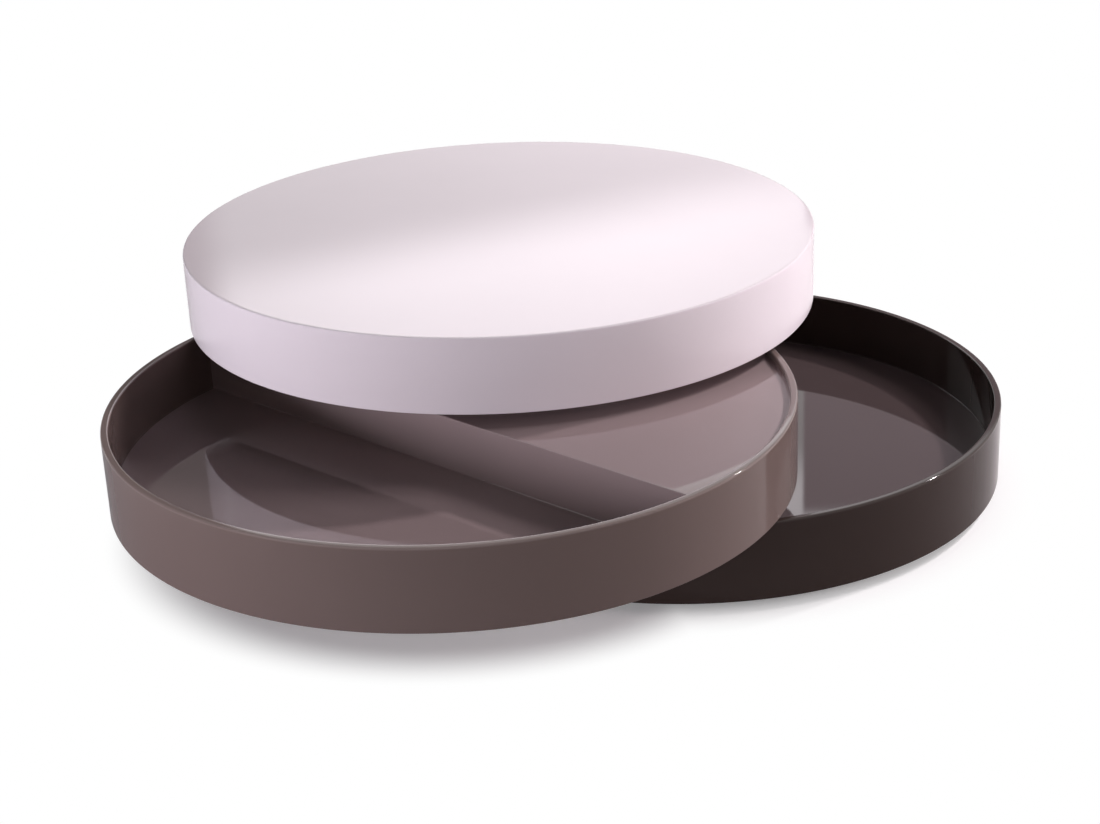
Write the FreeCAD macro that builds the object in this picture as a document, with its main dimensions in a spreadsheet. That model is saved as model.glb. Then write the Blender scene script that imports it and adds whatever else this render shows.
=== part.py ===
import FreeCAD, Part
import os
import re
import Sketcher

# Swivel coffee table: a closed round top over two round trays, all of one diameter.
# The three tiers turn on one upright axis that stands well off the middle of every disc.
# A tier is modelled about that axis, with +X running from the axis to the middle of its disc.
# In the table's frame +Z is up, the floor is at zero and the origin is under the middle of the spread tiers.

doc = FreeCAD.newDocument("swivel_table")
dims = doc.addObject("Spreadsheet::Sheet", "dims")

# Driving dimensions, in millimetres and degrees
driving_sizes = [
    ("disc_radius", 400, "outside of all three tiers"),
    ("wall_thickness", 9, "bent wall of the trays and skirt of the top"),
    ("tray_height", 96, "whole height of either tray"),
    ("top_height", 92, "whole height of the closed top"),
    ("floor_thickness", 22, "bottom panel of either tray"),
    ("rim_round", 2, "rounded edges of rims and of the top"),
    ("arris_round", 1, "softened lower edges"),
    ("glue_gap", 0.2, "bond line between a panel and the wall round it"),
    ("base_swing", 31.8, "direction of the base disc from the axis"),
    ("middle_swing", 227.5, "direction of the middle disc from the axis"),
    ("top_swing", 111.2, "direction of the top disc from the axis"),
    ("deck_drop", 9, "raised deck below the rim of the middle tray"),
    ("deck_thickness", 16, "deck panel"),
    ("riser_gap", 38, "drum to the back of the riser"),
    ("riser_thickness", 16, "upright panel between deck and deep compartment"),
    ("ledger_width", 20, "cleat that carries the curved edge of the deck"),
    ("ledger_height", 20, "height of that cleat"),
    ("panel_thickness", 19, "upper panel of the top"),
    ("underside_thickness", 16, "lower panel of the top"),
    ("rib_thickness", 12, "slats inside the top"),
    ("rib_pitch", 130, "spacing of those slats"),
    ("rib_count", 5, "number of those slats"),
    ("drum_land", 22, "hub and drums beyond the outside of the bearing"),
    ("drum_wall", 14, "wall of hub and drums"),
    ("drum_gap", 12, "free width between a drum and the cleat at the wall"),
    ("hub_plate", 16, "flat crown of the hub"),
    ("access_radius", 50, "hand holes for reaching the bearing bolts"),
    ("bearing_radius", 150, "outside of a turntable bearing"),
    ("ring_width", 14.5, "width of either ring of a bearing"),
    ("bearing_height", 10, "seat to seat over a bearing"),
    ("bearing_step", 2, "how far one ring stands above the other"),
    ("ring_gap", 1, "free width between the two rings"),
    ("ball_radius", 2.5, "bearing balls"),
    ("ball_clearance", 0.25, "play between ball and race"),
    ("ball_count", 30, "balls in a bearing"),
    ("spacer_thickness", 7, "ring that lifts the upper bearing over the rim"),
    ("fastener_inset", 5.5, "bolts and screws from the free edge of their ring"),
    ("fastener_count", 6, "fasteners on each circle at the axis"),
    ("bolt_shank", 2.5, "radius of a ring bolt"),
    ("bolt_head", 4.75, "radius of its head"),
    ("bolt_head_height", 3.5, "height of its head"),
    ("thread_cover", 1, "ring left over a threaded hole"),
    ("screw_shank", 2, "radius of a wood screw"),
    ("screw_head", 4, "radius of its countersunk head"),
    ("board_cover", 3, "thinnest board left over a screw hole"),
    ("hole_clearance", 0.15, "hole radius over shank or head radius"),
    ("pilot_spare", 1, "hole depth past the tip of a screw"),
    ("ballast_gap", 14, "steel plate under the base to the glides round it"),
    ("ballast_thickness", 6, "thickness of that plate"),
    ("ballast_inset", 15, "screws of that plate from its edge"),
    ("ballast_screw_count", 8, "number of those screws"),
    ("foot_height", 14, "floor to the underside of the base"),
    ("glide_inset", 48, "middle of a glide from the outside of the base"),
    ("glide_count", 6, "number of glides"),
    ("glide_radius", 18, "upper end of a glide"),
    ("glide_rim", 4, "straight rim of a glide above its taper"),
    ("well_clearance", 1, "screw well of a glide over the screw head"),
    ("glide_seat", 9, "floor to the seat of the screw head"),
    ("pan_head_height", 2.5, "head of a glide screw"),
    ("pad_radius", 15, "felt pad under a glide"),
    ("pad_thickness", 3, "thickness of that pad"),
]
for row, (alias, size, note) in enumerate(driving_sizes, start=1):
    dims.set("A%d" % row, note)
    dims.set("B%d" % row, str(size))
    dims.setAlias("B%d" % row, alias)
doc.recompute()

# Sizes and levels that follow from the driving dimensions
derived_sizes = {
    "wall_bore": "disc_radius - wall_thickness",
    "panel_edge": "wall_bore - glue_gap",
    "pivot_offset": "wall_bore - ledger_width - drum_gap - drum_radius",
    "drum_radius": "bearing_radius + drum_land",
    "drum_bore": "drum_radius - drum_wall",
    "drum_edge": "drum_radius + glue_gap",
    "hub_height": "tray_height - floor_thickness",
    "hub_circle": "drum_radius - drum_wall / 2",
    "deck_underside": "tray_height - deck_drop - deck_thickness",
    "riser_back": "drum_radius + riser_gap",
    "riser_face": "riser_back + riser_thickness",
    "skirt_height": "top_height - panel_thickness",
    "core_height": "skirt_height - underside_thickness",
    "first_rib": "0 - rib_pitch * (rib_count - 1) / 2",
    "ring_height": "bearing_height - bearing_step",
    "race_level": "bearing_height / 2",
    "race_radius": "bearing_radius - ring_width - ring_gap / 2",
    "bearing_bore": "bearing_radius - 2 * ring_width - ring_gap",
    "outer_ring_bore": "race_radius + ring_gap / 2",
    "inner_ring_edge": "race_radius - ring_gap / 2",
    "race_round": "ball_radius + ball_clearance",
    "bolt_circle": "bearing_radius - fastener_inset",
    "screw_circle": "bearing_bore + fastener_inset",
    "bolt_hole": "bolt_shank + hole_clearance",
    "screw_hole": "screw_shank + hole_clearance",
    "sink_hole": "screw_head + hole_clearance",
    "sink_depth": "screw_head - screw_shank",
    "thread_depth": "ring_height - thread_cover - pilot_spare",
    "screw_bite": "min(underside_thickness; floor_thickness) - board_cover - pilot_spare",
    "pilot_depth": "screw_bite + pilot_spare",
    "glide_circle": "disc_radius - glide_inset",
    "glide_well": "screw_head + well_clearance",
    "ballast_radius": "glide_circle - glide_radius - ballast_gap",
    "ballast_circle": "ballast_radius - ballast_inset",
    "far_edge": "pivot_offset + disc_radius",
    "near_edge": "pivot_offset - disc_radius",
    "base_level": "foot_height",
    "base_rim": "base_level + tray_height",
    "middle_level": "base_rim + bearing_height",
    "deck_level": "middle_level + tray_height - deck_drop",
    "upper_bearing_level": "deck_level + spacer_thickness",
    "top_level": "upper_bearing_level + bearing_height",
    "pivot_x": "0 - pivot_offset * (max(cos(base_swing); cos(middle_swing); cos(top_swing))"
               " + min(cos(base_swing); cos(middle_swing); cos(top_swing))) / 2",
    "pivot_y": "0 - pivot_offset * (max(sin(base_swing); sin(middle_swing); sin(top_swing))"
               " + min(sin(base_swing); sin(middle_swing); sin(top_swing))) / 2",
}
driving_names = {alias for alias, size, note in driving_sizes}
pieces = []


def bind(text):
    """Turn a formula in plain size names into an expression on the sheet's cells."""
    def cell(match):
        word = match.group()
        if word in derived_sizes:
            return "(" + bind(derived_sizes[word]) + ")"
        return "dims." + word if word in driving_names else word
    return re.sub("[a-z_]+", cell, text)


def value(text):
    """Present value of such a formula."""
    return float(dims.evalExpression(bind(text)))


def new_piece(label):
    body = doc.addObject("PartDesign::Body", label)
    body.Label = label
    pieces.append(body)
    return body


def place(body, tier, level, on_disc=False):
    """Set a piece on the swivel axis, or on its tier's disc, turned with that tier."""
    swing = tier + "_swing"
    reach = "pivot_offset" if on_disc else "0"
    body.Placement.Rotation = FreeCAD.Rotation(FreeCAD.Vector(0, 0, 1), value(swing))
    body.setExpression("Placement.Rotation.Angle", bind(swing))
    body.setExpression("Placement.Base.x", bind("pivot_x + %s * cos(%s)" % (reach, swing)))
    body.setExpression("Placement.Base.y", bind("pivot_y + %s * sin(%s)" % (reach, swing)))
    body.setExpression("Placement.Base.z", bind(level))


# Sketches whose every point and radius is bound to the sheet

def new_sketch(body, name, plane_role):
    sketch = body.newObject("Sketcher::SketchObject", name)
    plane = next(item for item in body.Origin.OriginFeatures if item.Role == plane_role)
    sketch.AttachmentSupport = [(plane, "")]
    sketch.MapMode = "FlatFace"
    return sketch


def fix_point(sketch, line, end, x, y):
    for kind, text in (("DistanceX", x), ("DistanceY", y)):
        index = sketch.addConstraint(Sketcher.Constraint(kind, -1, 1, line, end, value(text)))
        sketch.setExpression("Constraints[%d]" % index, bind(text))


def draw_polygon(sketch, points):
    corners = [FreeCAD.Vector(value(x), value(y), 0) for x, y in points]
    count = len(corners)
    first = sketch.GeometryCount
    for i in range(count):
        sketch.addGeometry(Part.LineSegment(corners[i], corners[(i + 1) % count]), False)
    for i in range(count):
        sketch.addConstraint(Sketcher.Constraint("Coincident", first + i, 2, first + (i + 1) % count, 1))
    for i, (x, y) in enumerate(points):
        fix_point(sketch, first + i, 1, x, y)


def draw_circle(sketch, x, y, radius):
    middle = FreeCAD.Vector(value(x), value(y), 0)
    ring = sketch.addGeometry(Part.Circle(middle, FreeCAD.Vector(0, 0, 1), value(radius)), False)
    index = sketch.addConstraint(Sketcher.Constraint("Radius", ring, value(radius)))
    sketch.setExpression("Constraints[%d]" % index, bind(radius))
    fix_point(sketch, ring, 3, x, y)


def draw_axis(sketch, x):
    foot = FreeCAD.Vector(value(x), 0, 0)
    head = FreeCAD.Vector(value(x), value("tray_height"), 0)
    line = sketch.addGeometry(Part.LineSegment(foot, head), True)
    fix_point(sketch, line, 1, x, "0")
    fix_point(sketch, line, 2, x, "tray_height")


# Ways of making and cutting a piece

def turn(body, points):
    """Turn a section, given as radius and height, about the piece's own upright axis."""
    sketch = new_sketch(body, "section", "XZ_Plane")
    draw_polygon(sketch, points)
    feature = body.newObject("PartDesign::Revolution", "turned")
    feature.Profile = sketch
    feature.ReferenceAxis = (sketch, ["V_Axis"])
    feature.Angle = 360
    doc.recompute()


def pad(body, sketch, thickness, both_ways=False):
    feature = body.newObject("PartDesign::Pad", "panel")
    feature.Profile = sketch
    feature.setExpression("Length", bind(thickness))
    if both_ways:
        feature.SideType = "Symmetric"
    doc.recompute()
    return feature


def pad_disc(body, x, radius, thickness):
    outline = new_sketch(body, "outline", "XY_Plane")
    draw_circle(outline, x, "0", radius)
    return pad(body, outline, thickness)


def require_cut(body, before):
    doc.recompute()
    if not body.Shape.Volume < before:
        raise RuntimeError("a cut misses " + body.Label)


def cut_through(body, sketch):
    before = body.Shape.Volume
    feature = body.newObject("PartDesign::Pocket", "cut")
    feature.Profile = sketch
    feature.Type = "ThroughAll"
    feature.SideType = "Symmetric"
    require_cut(body, before)


def cut_opening(body, radius):
    outline = new_sketch(body, "opening", "XY_Plane")
    draw_circle(outline, "0", "0", radius)
    cut_through(body, outline)


def trim_to_wall(body):
    """Take away everything that would reach into the round wall of the tier."""
    outline = new_sketch(body, "trim", "XY_Plane")
    draw_circle(outline, "pivot_offset", "0", "panel_edge")
    draw_circle(outline, "pivot_offset", "0", "disc_radius * 2")
    cut_through(body, outline)


def repeat_turned(body, kind, points, circle, count, centre, half_step):
    """Turn a small section about its own axis on a circle, then repeat it round the circle's centre.

    A half step starts the row midway between two places, which only a row about the swivel axis takes.
    """
    sketch = new_sketch(body, "small_section", "XZ_Plane")
    if half_step:
        sketch.AttachmentOffset.Rotation = FreeCAD.Rotation(FreeCAD.Vector(0, 1, 0), 180 / value(count))
        sketch.setExpression("AttachmentOffset.Rotation.Angle", bind("180 / " + count))
    axis = "%s + %s" % (centre, circle)
    draw_polygon(sketch, [("%s + %s" % (axis, x), y) for x, y in points])
    draw_axis(sketch, axis)
    draw_axis(sketch, centre)
    feature = body.newObject("PartDesign::" + kind, "small_turned")
    feature.Profile = sketch
    feature.ReferenceAxis = (sketch, ["Axis0"])
    feature.Angle = 360
    doc.recompute()
    pattern = body.newObject("PartDesign::PolarPattern", "round_the_centre")
    pattern.Originals = [feature]
    pattern.Axis = (sketch, ["Axis1"])
    pattern.Angle = 360
    pattern.setExpression("Occurrences", bind(count))
    body.Tip = pattern
    doc.recompute()


def add_row(body, points, circle, count, half_step=False):
    repeat_turned(body, "Revolution", points, circle, count, "0", half_step)


def drill_row(body, points, circle, count, centre="0", half_step=False):
    before = body.Shape.Volume
    repeat_turned(body, "Groove", points, circle, count, centre, half_step)
    require_cut(body, before)


def round_circles(body, radius, circles):
    """Round the circular edges found at the given radii and heights."""
    wanted = [(value(ring), value(level)) for ring, level in circles]
    base = body.Tip
    names = []
    for index, edge in enumerate(base.Shape.Edges, start=1):
        if not isinstance(edge.Curve, Part.Circle):
            continue
        ring, level = edge.Curve.Radius, edge.Curve.Center.z
        if any(abs(ring - r) < 0.001 and abs(level - z) < 0.001 for r, z in wanted):
            names.append("Edge%d" % index)
    if len(names) != len(wanted):
        raise RuntimeError("edges to round not found on " + body.Label)
    feature = body.newObject("PartDesign::Fillet", "rounded")
    feature.Base = (base, names)
    feature.setExpression("Radius", bind(radius))
    doc.recompute()


# Sections of fasteners and of the holes for them, as radius and height

def sunk_screw(foot, length):
    tip = "%s + %s" % (foot, length)
    return [("0", foot), ("screw_head", foot), ("screw_shank", foot + " + sink_depth"),
            ("screw_shank", tip + " - screw_shank"), ("0", tip)]


def sunk_hole(foot, length):
    mouth = "%s + %s" % (foot, length)
    return [("0", foot), ("sink_hole", foot), ("screw_hole", foot + " + sink_depth"),
            ("screw_hole", mouth), ("0", mouth)]


def plain_hole(radius, foot, length):
    end = "%s + %s" % (foot, length)
    return [("0", foot), (radius, foot), (radius, end), ("0", end)]


def headed(shank, head, head_height, seat, length):
    tip = "%s + %s" % (seat, length)
    under = "%s - %s" % (seat, head_height)
    return [("0", under), (head, under), (head, seat), (shank, seat), (shank, tip), ("0", tip)]


# Pieces that both trays or both bearings have

def make_wall(tier, level):
    wall = new_piece(tier + "_wall")
    turn(wall, [("wall_bore", "0"), ("disc_radius", "0"),
                ("disc_radius", "tray_height"), ("wall_bore", "tray_height")])
    round_circles(wall, "rim_round", [("wall_bore", "tray_height"), ("disc_radius", "tray_height")])
    round_circles(wall, "arris_round", [("disc_radius", "0")])
    place(wall, tier, level, on_disc=True)


def make_floor(tier, level):
    floor = new_piece(tier + "_floor")
    pad_disc(floor, "pivot_offset", "panel_edge", "floor_thickness")
    cut_opening(floor, "access_radius")
    place(floor, tier, level)
    return floor


def make_drum(tier, height, level):
    drum = new_piece(tier + "_drum")
    turn(drum, [("drum_bore", "0"), ("drum_radius", "0"), ("drum_radius", height), ("drum_bore", height)])
    place(drum, tier, level)


def make_race(ring):
    race = new_sketch(ring, "race", "XZ_Plane")
    draw_circle(race, "race_radius", "race_level", "race_round")
    before = ring.Shape.Volume
    groove = ring.newObject("PartDesign::Groove", "ball_race")
    groove.Profile = race
    groove.ReferenceAxis = (race, ["V_Axis"])
    groove.Angle = 360
    require_cut(ring, before)


def make_bearing(name, lower_tier, upper_tier, level, bolted_through):
    """Turntable bearing: the outer ring bolts to the tier below, the inner one screws to the tier above."""
    outer = new_piece(name + "_bearing_outer_ring")
    turn(outer, [("outer_ring_bore", "0"), ("bearing_radius", "0"),
                 ("bearing_radius", "ring_height"), ("outer_ring_bore", "ring_height")])
    make_race(outer)
    drill_row(outer, plain_hole("bolt_hole", "0", "thread_depth + pilot_spare"),
              "bolt_circle", "fastener_count")
    place(outer, lower_tier, level)

    inner = new_piece(name + "_bearing_inner_ring")
    turn(inner, [("bearing_bore", "bearing_step"), ("inner_ring_edge", "bearing_step"),
                 ("inner_ring_edge", "bearing_height"), ("bearing_bore", "bearing_height")])
    make_race(inner)
    drill_row(inner, sunk_hole("bearing_step", "ring_height"), "screw_circle", "fastener_count")
    place(inner, upper_tier, level)

    balls = new_piece(name + "_bearing_balls")
    ball = balls.newObject("PartDesign::AdditiveSphere", "ball")
    ball.setExpression("Radius", bind("ball_radius"))
    ball.setExpression("Placement.Base.x", bind("race_radius"))
    ball.setExpression("Placement.Base.z", bind("race_level"))
    doc.recompute()
    ring = balls.newObject("PartDesign::PolarPattern", "ball_ring")
    ring.Originals = [ball]
    ring.Axis = (next(item for item in balls.Origin.OriginFeatures if item.Role == "Z_Axis"), [""])
    ring.Angle = 360
    ring.setExpression("Occurrences", bind("ball_count"))
    balls.Tip = ring
    place(balls, lower_tier, level)

    bolts = new_piece(name + "_bearing_bolts")
    add_row(bolts, headed("bolt_shank", "bolt_head", "bolt_head_height", "0 - (%s)" % bolted_through,
                          bolted_through + " + thread_depth"), "bolt_circle", "fastener_count")
    place(bolts, lower_tier, level)

    screws = new_piece(name + "_bearing_screws")
    add_row(screws, sunk_screw("bearing_step", "ring_height + screw_bite"), "screw_circle", "fastener_count")
    place(screws, upper_tier, level)


# Base tray: it stands on the floor and carries the hub

make_wall("base", "base_level")

base_floor = make_floor("base", "base_level")
drill_row(base_floor, sunk_hole("0", "floor_thickness"), "hub_circle", "fastener_count", half_step=True)
for circle, count in (("ballast_circle", "ballast_screw_count"), ("glide_circle", "glide_count")):
    drill_row(base_floor, plain_hole("screw_hole", "0", "pilot_depth"), circle, count, "pivot_offset")

base_hub = new_piece("base_hub")
turn(base_hub, [("drum_bore", "0"), ("drum_radius", "0"), ("drum_radius", "hub_height"),
                ("access_radius", "hub_height"), ("access_radius", "hub_height - hub_plate"),
                ("drum_bore", "hub_height - hub_plate")])
round_circles(base_hub, "rim_round", [("drum_radius", "hub_height")])
drill_row(base_hub, plain_hole("screw_hole", "0", "pilot_depth"), "hub_circle", "fastener_count",
          half_step=True)
drill_row(base_hub, plain_hole("bolt_hole", "hub_height - hub_plate", "hub_plate"),
          "bolt_circle", "fastener_count")
place(base_hub, "base", "base_level + floor_thickness")

hub_screws = new_piece("hub_screws")
add_row(hub_screws, sunk_screw("0", "floor_thickness + screw_bite"), "hub_circle", "fastener_count",
        half_step=True)
place(hub_screws, "base", "base_level")

ballast_plate = new_piece("ballast_plate")
pad_disc(ballast_plate, "0", "ballast_radius", "ballast_thickness")
drill_row(ballast_plate, sunk_hole("0", "ballast_thickness"), "ballast_circle", "ballast_screw_count")
place(ballast_plate, "base", "base_level - ballast_thickness", on_disc=True)

ballast_screws = new_piece("ballast_screws")
add_row(ballast_screws, sunk_screw("0", "ballast_thickness + screw_bite"),
        "ballast_circle", "ballast_screw_count")
place(ballast_screws, "base", "base_level - ballast_thickness", on_disc=True)

floor_glides = new_piece("floor_glides")
add_row(floor_glides, [("screw_hole", "foot_height"), ("glide_radius", "foot_height"),
                       ("glide_radius", "foot_height - glide_rim"), ("pad_radius", "pad_thickness"),
                       ("glide_well", "pad_thickness"), ("glide_well", "glide_seat"),
                       ("screw_hole", "glide_seat")], "glide_circle", "glide_count")
place(floor_glides, "base", "0", on_disc=True)

glide_screws = new_piece("glide_screws")
add_row(glide_screws, headed("screw_shank", "screw_head", "pan_head_height", "glide_seat",
                             "foot_height - glide_seat + screw_bite"), "glide_circle", "glide_count")
place(glide_screws, "base", "0", on_disc=True)

glide_pads = new_piece("glide_pads")
add_row(glide_pads, plain_hole("pad_radius", "0", "pad_thickness"), "glide_circle", "glide_count")
place(glide_pads, "base", "0", on_disc=True)

make_bearing("lower", "base", "middle", "base_rim", "hub_plate")

# Middle tray: a deep compartment beside a raised deck that hides the swivel

make_wall("middle", "middle_level")

middle_floor = make_floor("middle", "middle_level")
drill_row(middle_floor, plain_hole("screw_hole", "0", "pilot_depth"), "screw_circle", "fastener_count")

make_drum("middle", "deck_underside - floor_thickness", "middle_level + floor_thickness")

# The riser and the front edge of the deck meet in a mitre, so the step shows no seam on its face
middle_riser = new_piece("middle_riser")
riser_section = new_sketch(middle_riser, "riser_section", "XZ_Plane")
draw_polygon(riser_section, [("riser_back", "floor_thickness"), ("riser_face", "floor_thickness"),
                             ("riser_face", "deck_underside + deck_thickness"),
                             ("riser_back", "deck_underside")])
pad(middle_riser, riser_section, "disc_radius * 2", both_ways=True)
trim_to_wall(middle_riser)
place(middle_riser, "middle", "middle_level")

middle_deck = new_piece("middle_deck")
pad_disc(middle_deck, "pivot_offset", "panel_edge", "deck_thickness")
mitre = new_sketch(middle_deck, "mitre", "XZ_Plane")
draw_polygon(mitre, [("riser_face", "deck_thickness"), ("riser_back", "0"),
                     ("far_edge", "0"), ("far_edge", "deck_thickness")])
cut_through(middle_deck, mitre)
drill_row(middle_deck, plain_hole("bolt_hole", "0", "deck_thickness"), "bolt_circle", "fastener_count")
place(middle_deck, "middle", "deck_level - deck_thickness")

deck_ledger = new_piece("deck_ledger")
ledger_outline = new_sketch(deck_ledger, "ledger_outline", "XY_Plane")
draw_circle(ledger_outline, "pivot_offset", "0", "panel_edge")
draw_circle(ledger_outline, "pivot_offset", "0", "panel_edge - ledger_width")
pad(deck_ledger, ledger_outline, "ledger_height")
in_front = new_sketch(deck_ledger, "in_front_of_riser", "XY_Plane")
draw_polygon(in_front, [("riser_back - glue_gap", "0 - disc_radius"), ("far_edge", "0 - disc_radius"),
                        ("far_edge", "disc_radius"), ("riser_back - glue_gap", "disc_radius")])
cut_through(deck_ledger, in_front)
place(deck_ledger, "middle", "deck_level - deck_thickness - ledger_height")

bearing_spacer = new_piece("bearing_spacer")
turn(bearing_spacer, [("bearing_bore", "0"), ("bearing_radius", "0"),
                      ("bearing_radius", "spacer_thickness"), ("bearing_bore", "spacer_thickness")])
drill_row(bearing_spacer, plain_hole("bolt_hole", "0", "spacer_thickness"), "bolt_circle", "fastener_count")
place(bearing_spacer, "middle", "deck_level")

make_bearing("upper", "middle", "top", "upper_bearing_level", "spacer_thickness + deck_thickness")

# Top: a closed hollow disc, stiffened by slats and a drum over the bearing

top_panel = new_piece("top_panel")
turn(top_panel, [("0", "0"), ("disc_radius", "0"), ("disc_radius", "panel_thickness"), ("0", "panel_thickness")])
round_circles(top_panel, "rim_round", [("disc_radius", "panel_thickness")])
place(top_panel, "top", "top_level + skirt_height", on_disc=True)

top_skirt = new_piece("top_skirt")
turn(top_skirt, [("wall_bore", "0"), ("disc_radius", "0"),
                 ("disc_radius", "skirt_height"), ("wall_bore", "skirt_height")])
round_circles(top_skirt, "arris_round", [("disc_radius", "0")])
place(top_skirt, "top", "top_level", on_disc=True)

top_underside = new_piece("top_underside")
pad_disc(top_underside, "pivot_offset", "panel_edge", "underside_thickness")
drill_row(top_underside, plain_hole("screw_hole", "0", "pilot_depth"), "screw_circle", "fastener_count")
place(top_underside, "top", "top_level")

make_drum("top", "core_height", "top_level + underside_thickness")

top_ribs = new_piece("top_ribs")
rib_outline = new_sketch(top_ribs, "rib_outline", "XY_Plane")
draw_polygon(rib_outline, [("near_edge", "first_rib - rib_thickness / 2"),
                           ("far_edge", "first_rib - rib_thickness / 2"),
                           ("far_edge", "first_rib + rib_thickness / 2"),
                           ("near_edge", "first_rib + rib_thickness / 2")])
first_rib = pad(top_ribs, rib_outline, "core_height")
rib_row = top_ribs.newObject("PartDesign::LinearPattern", "rib_row")
rib_row.Originals = [first_rib]
rib_row.Direction = (next(item for item in top_ribs.Origin.OriginFeatures if item.Role == "Y_Axis"), [""])
rib_row.setExpression("Length", bind("rib_pitch * (rib_count - 1)"))
rib_row.setExpression("Occurrences", bind("rib_count"))
top_ribs.Tip = rib_row
doc.recompute()
trim_to_wall(top_ribs)
cut_opening(top_ribs, "drum_edge")
place(top_ribs, "top", "top_level + underside_thickness")

# Every object has to be sound before anything is written

doc.recompute()
for item in doc.Objects:
    if "Invalid" in item.State or "Error" in item.State:
        raise RuntimeError("%s did not build" % item.Label)
for body in pieces:
    if body.Shape.isNull() or not body.Shape.isValid():
        raise RuntimeError("%s has no sound shape" % body.Label)

os.makedirs("parts", exist_ok=True)
for body in pieces:
    body.Shape.exportStep("parts/%s.step" % body.Label)
    print("%s: %d solids, %.1f cm3" % (body.Label, len(body.Shape.Solids), body.Shape.Volume / 1000))
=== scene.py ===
import math
import bmesh
import bpy
import numpy as np
from mathutils import Matrix


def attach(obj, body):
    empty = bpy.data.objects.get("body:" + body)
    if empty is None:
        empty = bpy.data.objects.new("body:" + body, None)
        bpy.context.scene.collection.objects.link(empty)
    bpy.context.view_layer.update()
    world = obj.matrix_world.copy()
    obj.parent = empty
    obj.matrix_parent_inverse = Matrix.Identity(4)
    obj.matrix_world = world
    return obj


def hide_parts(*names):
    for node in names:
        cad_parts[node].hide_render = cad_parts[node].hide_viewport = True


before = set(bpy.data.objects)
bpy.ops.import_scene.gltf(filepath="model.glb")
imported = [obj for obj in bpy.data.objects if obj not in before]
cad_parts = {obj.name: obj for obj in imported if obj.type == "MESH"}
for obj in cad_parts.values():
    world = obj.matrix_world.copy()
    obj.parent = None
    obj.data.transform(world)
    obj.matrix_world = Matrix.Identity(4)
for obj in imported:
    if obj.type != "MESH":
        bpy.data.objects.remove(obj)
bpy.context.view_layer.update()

# Swivel coffee table: a white closed top over a taupe tray over a dark brown tray.
# All lengths are in metres, all angles in degrees.

# where the tiers stand at rest
layout = {
    "pivot": (-0.016297, -0.018237),     # upright swivel axis
    "reach": 0.187,                      # axis to the middle of every disc
    "swing": {"base": 31.8, "middle": 227.5, "top": 111.2},
    "level": {"base": 0.014, "middle": 0.120, "top": 0.224},
    "discRadius": 0.3999,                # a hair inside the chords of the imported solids
    "wallBore": 0.391,
}


def heading(degrees):
    return np.array([math.cos(math.radians(degrees)), math.sin(math.radians(degrees))])


def discCentre(tier):
    return np.array(layout["pivot"]) + layout["reach"] * heading(layout["swing"][tier])


# Surfaces worked out with numpy

def roundedSection(corners, steps=7, guard=0.0012, guardShare=0.4):
    # A section is a list of (radius, height, rounding). Each rounding becomes an arc tangent to both edges:
    # centre + (sin((1-t)w) * start + sin(t w) * end) / sin(w), w being the arc's angle. A point is kept a
    # little outside each arc, so that the shading of the flat faces stays flat. Returns the points, and their
    # wear and painted highlight, which is 1 in the middle of an arc and falls to 0 at its ends.
    points, wearAndSheen = [], []
    for i, (radius, height, rounding) in enumerate(corners):
        here = np.array([radius, height])
        if not rounding:
            points.append(here[None])
            wearAndSheen.append(np.zeros(1))
            continue
        before = np.array(corners[i - 1][:2]) - here
        after = np.array(corners[(i + 1) % len(corners)][:2]) - here
        lengthBefore, lengthAfter = np.linalg.norm(before), np.linalg.norm(after)
        before, after = before / lengthBefore, after / lengthAfter
        half = math.acos(np.clip(before @ after, -1, 1)) / 2
        tangent = rounding / math.tan(half)
        middle = here + (before + after) / np.linalg.norm(before + after) * rounding / math.sin(half)
        start, end = here + before * tangent - middle, here + after * tangent - middle
        sweep = math.pi - 2 * half
        t = np.linspace(0, 1, steps + 1)[:, None]
        arc = middle + (np.sin((1 - t) * sweep) * start + np.sin(t * sweep) * end) / math.sin(sweep)
        guardBefore = min(guard, (lengthBefore - tangent) * guardShare)
        guardAfter = min(guard, (lengthAfter - tangent) * guardShare)
        points.append(np.concatenate([[here + before * (tangent + guardBefore)], arc,
                                      [here + after * (tangent + guardAfter)]]))
        wearAndSheen.append(np.concatenate([[0], np.sin(t[:, 0] * math.pi) ** 0.5, [0]]))
    return np.concatenate(points), np.concatenate(wearAndSheen)


def turned(section, centres, level, segments):
    # Point = centre + radius * (cos a, sin a) at level + height, for every section point, angle a and centre.
    angle = np.arange(segments) * 2 * math.pi / segments
    centres = np.atleast_2d(centres)
    x = centres[:, 0, None, None] + section[None, :, 0, None] * np.cos(angle)
    y = centres[:, 1, None, None] + section[None, :, 0, None] * np.sin(angle)
    z = level + section[None, :, 1, None] + 0 * x
    return np.stack([x, y, z], axis=-1)


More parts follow.
